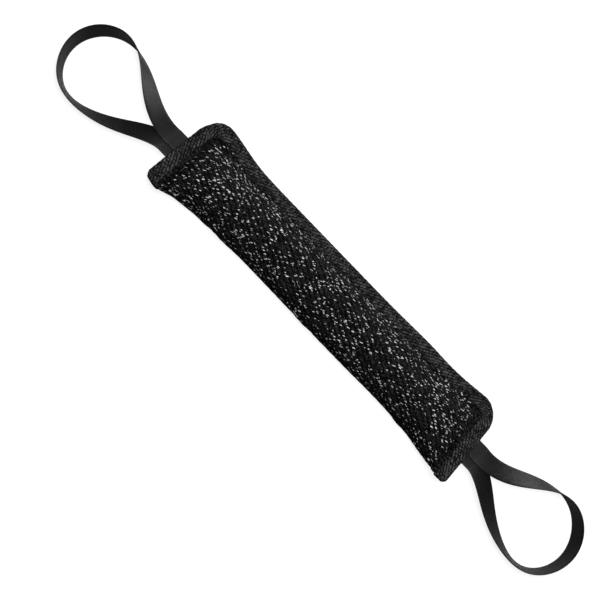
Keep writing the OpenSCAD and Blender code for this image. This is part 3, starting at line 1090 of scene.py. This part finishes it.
def fibre_material():
    """Loose off-white fibre."""
    material, n, shader, _, place = new_material("fibre_filling", 0.95, 0.2)
    clumps = n.noise(place, 120.0, 6.0)
    strands = n.noise(place, 1400.0, 3.0)
    colour = n.blend(clumps, fibre_dark, fibre_light)
    colour = n.blend(n.math("MULTIPLY", strands, 0.3), colour, fibre_strand)
    n.put(colour, shader.inputs["Base Color"])
    n.put(n.between(strands, 0.3, 0.7, 1.0, 0.85), shader.inputs["Roughness"])
    add_bump(n, shader, n.math("ADD", clumps, n.math("MULTIPLY", strands, 0.5)), 0.001, 0.7)
    return material


# The bumper

twill = twill_group()
wear = wear_group()
plain = plain_weave_group()
cover_cloth = cover_material(twill, wear)
tape_cloth = tape_material(twill, wear)
webbing = webbing_material(plain, wear)
black_thread = thread_material()
fibre = fibre_material()


def finish_piece(piece, material, slot, *nodes):
    """Gives a piece its material and hides the solids that it stands for. Its slot is not used."""
    piece.data.materials.append(material)
    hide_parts(*nodes)


cover, inside = make_cover()
finish_piece(cover, cover_cloth, "cover_cloth", "cover")
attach(cover, "pad")

stuffing = make_stuffing(inside)
finish_piece(stuffing, fibre, "fibre_fill", "stuffing")
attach(stuffing, "pad")

binding = make_binding()
finish_piece(binding, tape_cloth, "binding_tape", "edge_binding")
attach(binding, "pad")

for name, lines in (
    ("binding_needle_thread", seam_stitches(1)),
    ("binding_bobbin_thread", seam_stitches(-1)),
    ("left_handle_tack", tack_stitches(-1)),
    ("right_handle_tack", tack_stitches(1)),
):
    stitches = add_stitches(name + "_stitches", lines)
    finish_piece(stitches, black_thread, "thread", name)
    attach(stitches, "pad")

for name, side, lean, reach in (
    ("left_handle", -1, left_lean, left_reach),
    ("right_handle", 1, right_lean, right_reach),
):
    handle = make_handle(name + "_webbing", side, lean, reach)
    finish_piece(handle, webbing, "webbing", name + "_loop", name + "_tails")
    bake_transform(handle)


# Floor, light and camera, in metres where no other unit is named

floor_half = 4.0
bounce_grey = (0.025, 0.025, 0.025, 1)
shadow_grey = (0.26, 0.26, 0.26, 1)
pad_middle = (0, 0, 0.02)
plain_white = (1, 1, 1, 1)
dim_light = 0.02

# The floor's own white, less under the lamps and full far from them: distances and strengths
lit_from = 0.4
lit_to = 1.2
white_near = 0.84
white_far = 1.0

# The photograph's view: angles in degrees, lengths in millimetres, the shift across and up the picture
view_azimuth = 1.26
view_height = 66.09
view_roll = 47.15
view_distance = 880.0
view_centre = (0, 0, 15)
view_shift = (-23.91, -1.505)
view_px_per_mm = 1.048
picture_px = 600
sensor_mm = 36


def seen_by_camera(n, others, seen):
    """One shader for the camera and another for all other rays."""
    ray = n.add("ShaderNodeLightPath")
    pick = n.add("ShaderNodeMixShader")
    n.put(ray.outputs["Is Camera Ray"], pick.inputs[0])
    n.put(others.outputs[0], pick.inputs[1])
    n.put(seen.outputs[0], pick.inputs[2])
    return pick.outputs[0]


def make_floor():
    """A plain floor: white to the camera, with a soft shadow, and dark grey to bounced light."""
    mesh = bpy.data.meshes.new("floor")
    corners = [(x * floor_half, y * floor_half, 0) for x, y in ((-1, -1), (1, -1), (1, 1), (-1, 1))]
    mesh.from_pydata(corners, [], [(0, 1, 2, 3)])
    floor = bpy.data.objects.new("floor", mesh)
    bpy.context.scene.collection.objects.link(floor)
    material = bpy.data.materials.new("plain_floor")
    material.use_nodes = True
    material.node_tree.nodes.clear()
    n = Nodes(material.node_tree)
    bounce = n.add("ShaderNodeBsdfDiffuse")
    bounce.inputs["Color"].default_value = bounce_grey
    shadow = n.add("ShaderNodeBsdfDiffuse")
    shadow.inputs["Color"].default_value = shadow_grey
    white = n.add("ShaderNodeEmission")
    away = n.add("ShaderNodeVectorMath", operation="LENGTH")
    n.put(n.add("ShaderNodeTexCoord").outputs["Object"], away.inputs[0])
    strength = n.between(away.outputs["Value"], lit_from, lit_to, white_near, white_far)
    n.put(strength, white.inputs["Strength"])
    seen = n.add("ShaderNodeAddShader")
    n.put(shadow.outputs[0], seen.inputs[0])
    n.put(white.outputs[0], seen.inputs[1])
    end = n.add("ShaderNodeOutputMaterial")
    n.put(seen_by_camera(n, bounce, seen), end.inputs["Surface"])
    mesh.materials.append(material)


def make_lamp(name, place, target, size, power):
    """A soft rectangular lamp that faces a point."""
    light = bpy.data.lights.new(name, "AREA")
    light.shape = "RECTANGLE"
    light.size, light.size_y = size
    light.energy = power
    lamp = bpy.data.objects.new(name, light)
    lamp.location = place
    lamp.rotation_euler = (Vector(target) - Vector(place)).to_track_quat("-Z", "Y").to_euler()
    bpy.context.scene.collection.objects.link(lamp)


def make_world():
    """Dim even light all round, white to the camera."""
    world = bpy.data.worlds.new("studio")
    world.use_nodes = True
    world.node_tree.nodes.clear()
    n = Nodes(world.node_tree)
    dim = n.add("ShaderNodeBackground")
    dim.inputs["Color"].default_value = plain_white
    dim.inputs["Strength"].default_value = dim_light
    white = n.add("ShaderNodeBackground")
    white.inputs["Color"].default_value = plain_white
    end = n.add("ShaderNodeOutputWorld")
    n.put(seen_by_camera(n, dim, white), end.inputs["Surface"])
    bpy.context.scene.world = world


def make_camera():
    """The camera at the photograph's angle: 66 degrees above the floor and rolled by 47."""
    azimuth, height, roll = (math.radians(k) for k in (view_azimuth, view_height, view_roll))
    level = math.cos(height)
    back = Vector((-math.sin(azimuth) * level, -math.cos(azimuth) * level, math.sin(height)))
    right = Vector((math.cos(azimuth), -math.sin(azimuth), 0))
    right = (right - back * right.dot(back)).normalized()
    up = back.cross(right)
    across = math.cos(roll) * right + math.sin(roll) * up
    upward = -math.sin(roll) * right + math.cos(roll) * up
    place = Vector(view_centre) + view_distance * back
    place = place + view_shift[0] * across + view_shift[1] * upward
    data = bpy.data.cameras.new("camera")
    data.lens = sensor_mm * view_px_per_mm * view_distance / picture_px
    data.clip_start = 0.01
    camera = bpy.data.objects.new("camera", data)
    turned = Matrix((across, upward, back)).transposed().to_4x4()
    camera.matrix_world = Matrix.Translation(place * MM) @ turned
    bpy.context.scene.collection.objects.link(camera)
    bpy.context.scene.camera = camera


make_floor()
make_world()
make_lamp("low_far_lamp", place=(0, 1.4, 0.3), target=pad_middle, size=(1.4, 0.5), power=11.5)
make_lamp("high_far_lamp", place=(0, 0.75, 0.6), target=pad_middle, size=(0.6, 0.5), power=2.5)
make_lamp("overhead_lamp", place=(0, -0.25, 1.15), target=(0, 0, 0), size=(0.5, 0.5), power=14)
make_camera()
bpy.context.scene.view_settings.view_transform = "Standard"
